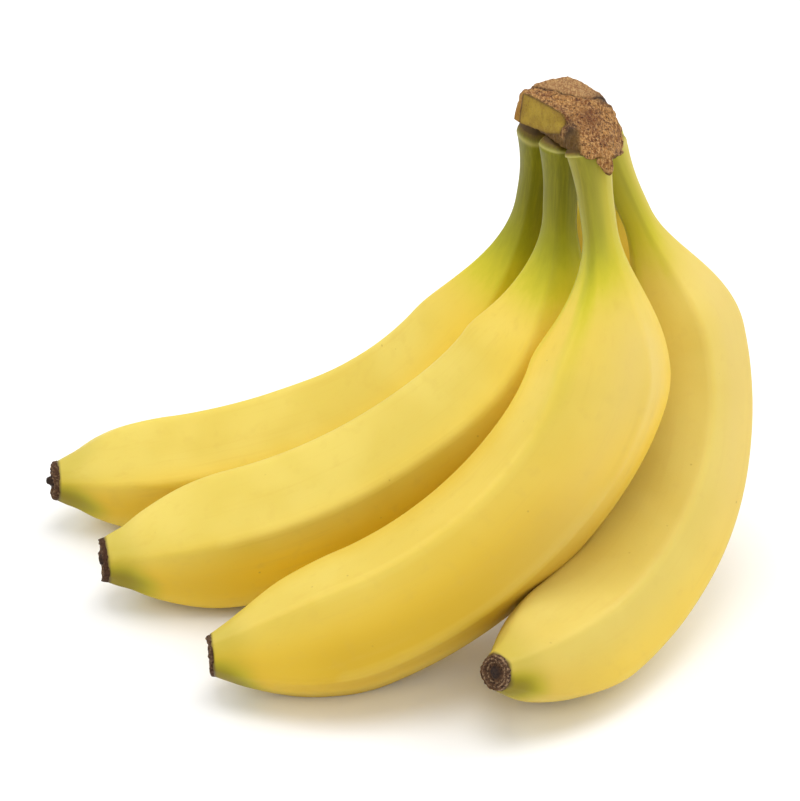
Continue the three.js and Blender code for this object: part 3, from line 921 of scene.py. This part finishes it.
def strip_skin(tree, coarse, middling, speckle):
    """The strip of skin, with specks and blotches, browner at its rim."""
    colour = shades(tree, ramp(tree, coarse, 0.4, 0.6), CORK["strip"], CORK["light_strip"])
    return overlay(tree, colour, (
        (ramp(tree, speckle, 0.56, 0.64), 0.6, CORK["strip_speckle"]),
        (ramp(tree, middling, 0.56, 0.66), 0.35, CORK["strip_blotch"]),
        (attribute(tree, "strip_rim"), 0.45, CORK["strip_rim"])))


def cork_material():
    material, tree, shader = new_material("cut_crown_cork")
    place = millimetre_place(tree)
    coarse = noise(tree, place, scale=0.25, detail=4.0, roughness=0.6)
    middling = noise(tree, place, scale=0.9, detail=5.0, roughness=0.7)
    speckle = noise(tree, place, scale=2.4, detail=3.0, roughness=0.75)
    fibres = noise(tree, place, scale=2.0, detail=4.0, stretch=(1, 0.3, 0.3), roughness=0.7)
    cork = cut_cork(tree, coarse, middling, speckle, fibres)
    colour = mix(tree, attribute(tree, "skin"), cork, strip_skin(tree, coarse, middling, speckle))
    ends = shades(tree, ramp(tree, middling, 0.4, 0.6), CORK["strip_end"], CORK["light_strip_end"])
    colour = mix(tree, times(tree, attribute(tree, "strip_end"), 0.9), colour, ends)
    colour = overlay(tree, colour, ((attribute(tree, "outline"), 0.85, CORK["outline"]),))
    specks = bump(tree, speckle, distance=0.35, strength=0.8)
    fill(tree, shader, {
        "Base Color": colour,
        "Roughness": 0.8,
        "Specular IOR Level": 0.25,
        "Normal": bump(tree, middling, distance=0.5, strength=0.8, below=specks)})
    return material


def scar_material():
    material, tree, shader = new_material("dried_blossom_scar")
    place = millimetre_place(tree)
    distance = attribute(tree, "from_middle")
    grain = noise(tree, place, scale=1.4, detail=5.0, roughness=0.7)
    wobble = times(tree, noise(tree, place, scale=0.5, detail=3.0), 5.0)
    waves = math_node(tree, "SINE", plus(tree, times(tree, distance, 6.2), wobble))
    rings = times(tree, ramp(tree, waves, 0.2, 0.9), ramp(tree, distance, 1.6, 3.2))
    colour = shades(tree, ramp(tree, grain, 0.35, 0.6), SCAR["brown"], SCAR["light_brown"])
    colour = overlay(tree, colour, (
        (times(tree, rings, ramp(tree, grain, 0.42, 0.62)), 0.7, SCAR["ring"]),
        (opposite(tree, ramp(tree, distance, 1.2, 2.4)), 0.75, SCAR["stub"]),
        (ramp(tree, distance, 5.4, 5.8), 0.6, SCAR["rim"])))
    fill(tree, shader, {
        "Base Color": colour,
        "Roughness": 0.9,
        "Specular IOR Level": 0.2,
        "Normal": bump(tree, grain, distance=0.3, strength=0.8)})
    return material


def floor_material():
    material, tree, shader = new_material("studio_floor")
    inputs = {"Vector": object_place(tree), "Scale": 3.0, "Detail": 2.0}
    tone = add(tree, "ShaderNodeTexNoise", inputs).outputs["Fac"]
    fill(tree, shader, {
        "Base Color": shades(tree, tone, FLOOR["white"], FLOOR["light_white"]),
        "Roughness": 0.9,
        "Specular IOR Level": 0.1})
    return material


def make_floor():
    mesh = bpy.data.meshes.new("floor")
    signs = ((-1, -1), (1, -1), (1, 1), (-1, 1))
    mesh.from_pydata([(x * FLOOR_REACH, y * FLOOR_REACH, 0) for x, y in signs], [], [(0, 1, 2, 3)])
    mesh.materials.append(floor_material())
    floor = bpy.data.objects.new("floor", mesh)
    bpy.context.scene.collection.objects.link(floor)


def make_camera():
    elevation = math.radians(CAMERA_ELEVATION)
    back = np.array([0, -math.cos(elevation), math.sin(elevation)]) * CAMERA_DISTANCE
    data = bpy.data.cameras.new("camera")
    data.sensor_fit = "VERTICAL"
    data.sensor_height = SENSOR
    data.lens = FOCAL_PIXELS * SENSOR / IMAGE_HEIGHT_PIXELS
    camera = bpy.data.objects.new("camera", data)
    camera.location = (CAMERA_TARGET + back - ORIGIN) * MM
    camera.rotation_euler = (math.pi / 2 - elevation, 0, 0)
    bpy.context.scene.collection.objects.link(camera)
    bpy.context.scene.camera = camera


def make_lamp(name, place, power):
    data = bpy.data.lights.new(name, "AREA")
    data.shape = "DISK"
    data.size = LAMP_SIZE
    data.energy = power
    lamp = bpy.data.objects.new(name, data)
    lamp.location = place
    lamp.rotation_euler = (Vector(LAMP_TARGET) - Vector(place)).to_track_quat("-Z", "Y").to_euler()
    bpy.context.scene.collection.objects.link(lamp)


def make_light():
    world = bpy.data.worlds.new("studio")
    world.use_nodes = True
    background = world.node_tree.nodes["Background"]
    background.inputs["Color"].default_value = (1, 1, 1, 1)
    background.inputs["Strength"].default_value = SKY_STRENGTH
    bpy.context.scene.world = world
    for name, place, power in LAMPS:
        make_lamp(name, place, power)


def main():
    view = bpy.context.scene.view_settings
    view.view_transform = "Standard"
    view.look = "None"
    make_camera()
    make_light()
    make_floor()
    peel, cork, scar = peel_material(), cork_material(), scar_material()
    for seed, finger in enumerate(FINGERS, start=1):
        make_finger(finger, seed, peel)
        make_blossom_end(finger, seed * 7, scar)
    make_crown(cork)


main()
